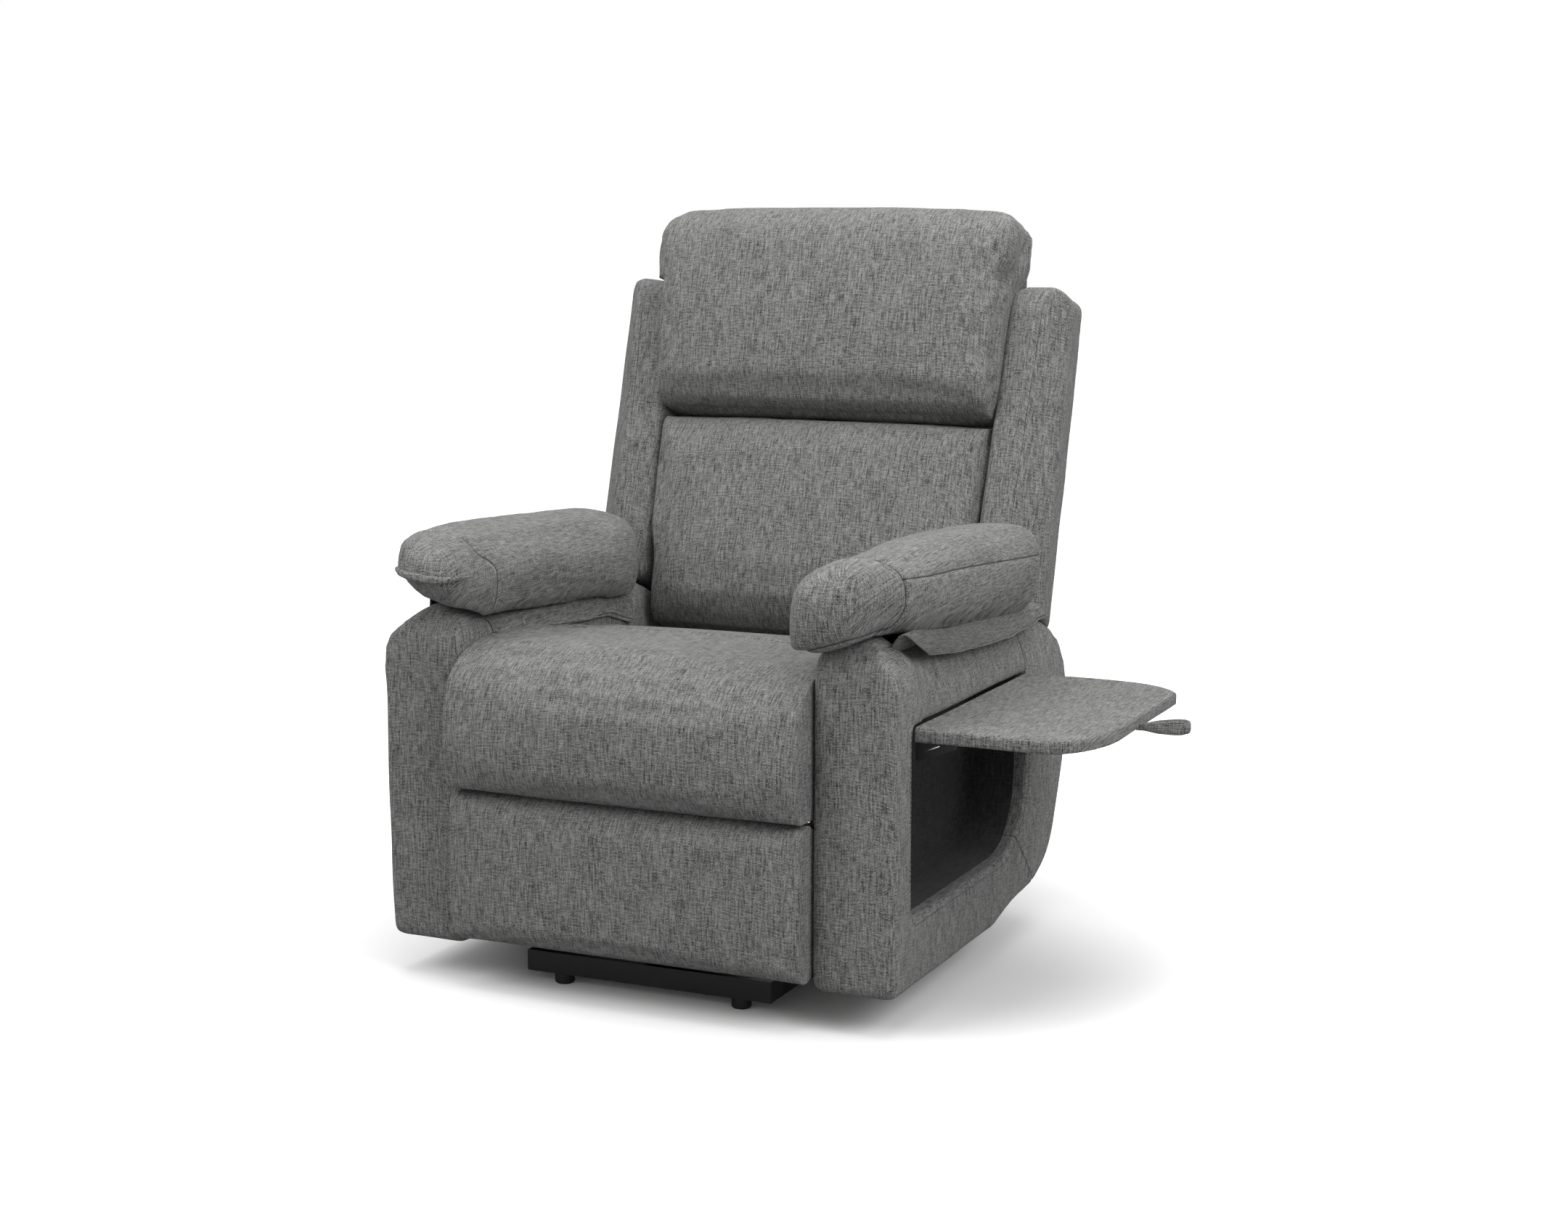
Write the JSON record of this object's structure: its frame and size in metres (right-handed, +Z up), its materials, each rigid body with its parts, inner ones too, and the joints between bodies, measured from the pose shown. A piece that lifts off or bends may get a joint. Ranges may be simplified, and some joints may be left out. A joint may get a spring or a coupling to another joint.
{
  "type": "lift recliner chair",
  "caption": "Upholstered lift recliner armchair with reclining back, rising footrest, steel lift base and a fold-out side table flap over a storage pocket.",
  "frame": {"origin": "on the floor, at the middle of the object's box (flap folded out and pull loop included)", "axes": "+Z up, the chair faces -Y, +X is the side of the storage pocket and its flap (the sitter's left)"},
  "size_m": [1.1096, 0.9032, 1.104],
  "materials": {
    "upholstery": "heathered mid-grey woven polyester over foam",
    "black_steel": "semi-matt black powder coat",
    "zinc_steel": "zinc plated",
    "spring_steel": "oil tempered wire",
    "black_plastic": "fine grained black",
    "plywood": "raw plywood"
  },
  "bodies": {
    "base": {"base_rail_right": "black_steel", "base_rail_left": "black_steel", "base_beam_front": "black_steel", "base_beam_rear": "black_steel", "foot_front_right": "black_plastic", "foot_front_left": "black_plastic", "foot_rear_right": "black_plastic", "foot_rear_left": "black_plastic"},
    "lift_arms": {"lift_arm_right": "black_steel", "lift_arm_left": "black_steel", "lift_torque_tube": "black_steel"},
    "tilt_links": {"tilt_link_right": "black_steel", "tilt_link_left": "black_steel"},
    "lift_motor_body": {"lift_motor": "black_plastic"},
    "lift_motor_rod": {"lift_rod": "zinc_steel"},
    "carriage": {"chassis_plate_right": "black_steel", "chassis_plate_left": "black_steel", "chassis_bar_front": "black_steel", "chassis_bar_rear": "black_steel", "control_box": "black_plastic", "seat_rail_side_right": "plywood", "seat_rail_side_left": "plywood", "seat_rail_front": "plywood", "seat_rail_rear": "plywood", "seat_spring_1": "spring_steel", "seat_spring_2": "spring_steel", "seat_spring_3": "spring_steel", "seat_spring_4": "spring_steel", "seat_cushion": "upholstery", "arm_left": "upholstery", "arm_right": "upholstery", "arm_board_right": "plywood", "arm_board_left": "plywood", "arm_apron_right": "upholstery", "arm_apron_left": "upholstery", "arm_pad_right": "upholstery", "arm_pad_left": "upholstery", "bracket_wall_leg": "black_steel"},
    "recline_motor_body": {"recline_motor": "black_plastic"},
    "recline_motor_rod": {"recline_rod": "zinc_steel"},
    "backrest": {"back_board": "plywood", "back_hinge_bar": "black_steel", "back_cover": "upholstery", "wing_right": "upholstery", "wing_left": "upholstery", "lumbar_cushion": "upholstery", "head_cushion": "upholstery"},
    "footrest_rear_links": {"footrest_rear_link_right": "zinc_steel", "footrest_rear_link_left": "zinc_steel"},
    "footrest_front_links": {"footrest_front_link_right": "zinc_steel", "footrest_front_link_left": "zinc_steel"},
    "footrest": {"footrest_board": "plywood", "footrest_pad": "upholstery", "footrest_bracket_right": "zinc_steel", "footrest_bracket_left": "zinc_steel"},
    "flap": {"side_flap": "upholstery", "pull_loop": "upholstery", "bracket_flap_leg": "black_steel"}
  },
  "joints": [
    {"name": "lift", "type": "hinge", "parent": "base", "child": "lift_arms", "pos_m": [-0.14517, 0.17157, 0.07], "axis": [-1, 0, 0], "range_deg": [0, 48]},
    {"name": "lift_chassis", "type": "hinge", "parent": "lift_arms", "child": "carriage", "pos_m": [-0.14517, -0.19843, 0.105], "axis": [1, 0, 0], "range_deg": [0, 75]},
    {"name": "lift_tilt_link", "type": "hinge", "parent": "base", "child": "tilt_links", "pos_m": [-0.14517, 0.23897, 0.1129], "axis": [-1, 0, 0], "range_deg": [0, 46.2]},
    {"name": "lift_motor_pivot", "type": "hinge", "parent": "base", "child": "lift_motor_body", "pos_m": [-0.14517, -0.28343, 0.062], "axis": [1, 0, 0], "range_deg": [0, 5.1]},
    {"name": "lift_rod_slide", "type": "slide", "parent": "lift_motor_body", "child": "lift_motor_rod", "axis": [0, 0.969, 0.2472], "range_m": [0, 0.106]},
    {"name": "recline", "type": "hinge", "parent": "carriage", "child": "backrest", "pos_m": [-0.14517, 0.23357, 0.372], "axis": [-1, 0, 0], "range_deg": [0, 42]},
    {"name": "recline_motor_pivot", "type": "hinge", "parent": "carriage", "child": "recline_motor_body", "pos_m": [-0.14517, -0.20843, 0.2], "axis": [1, 0, 0], "range_deg": [0, 5.7]},
    {"name": "recline_rod_slide", "type": "slide", "parent": "recline_motor_body", "child": "recline_motor_rod", "axis": [0, -0.973, -0.2307], "range_m": [0, 0.036]},
    {"name": "footrest", "type": "hinge", "parent": "carriage", "child": "footrest_rear_links", "pos_m": [-0.14517, -0.33843, 0.225], "axis": [-1, 0, 0], "range_deg": [0, 163]},
    {"name": "footrest_scissor", "type": "hinge", "parent": "footrest_rear_links", "child": "footrest_front_links", "pos_m": [-0.14517, -0.18688, 0.11889], "axis": [1, 0, 0], "range_deg": [0, 157.5]},
    {"name": "footrest_panel", "type": "hinge", "parent": "footrest_front_links", "child": "footrest", "pos_m": [-0.14517, -0.36443, 0.15], "axis": [-1, 0, 0], "range_deg": [0, 79.5]},
    {"name": "flap_hinge", "type": "hinge", "parent": "carriage", "child": "flap", "pos_m": [0.24083, -0.08643, 0.411], "axis": [0, 1, 0], "range_deg": [0, 84]}
  ],
  "couplings": [
    {"joint": "lift_chassis", "follows": "lift", "ratio": 1.5625},
    {"joint": "lift_tilt_link", "follows": "lift", "ratio": 0.96104},
    {"joint": "lift_motor_pivot", "follows": "lift", "ratio": 0.105},
    {"joint": "lift_rod_slide", "follows": "lift", "m_per_rad": 0.12581},
    {"joint": "recline_motor_pivot", "follows": "recline", "ratio": 0.13381},
    {"joint": "recline_rod_slide", "follows": "recline", "m_per_rad": 0.048156},
    {"joint": "footrest_scissor", "follows": "footrest", "ratio": 0.96564},
    {"joint": "footrest_panel", "follows": "footrest", "ratio": 0.48712}
  ]
}
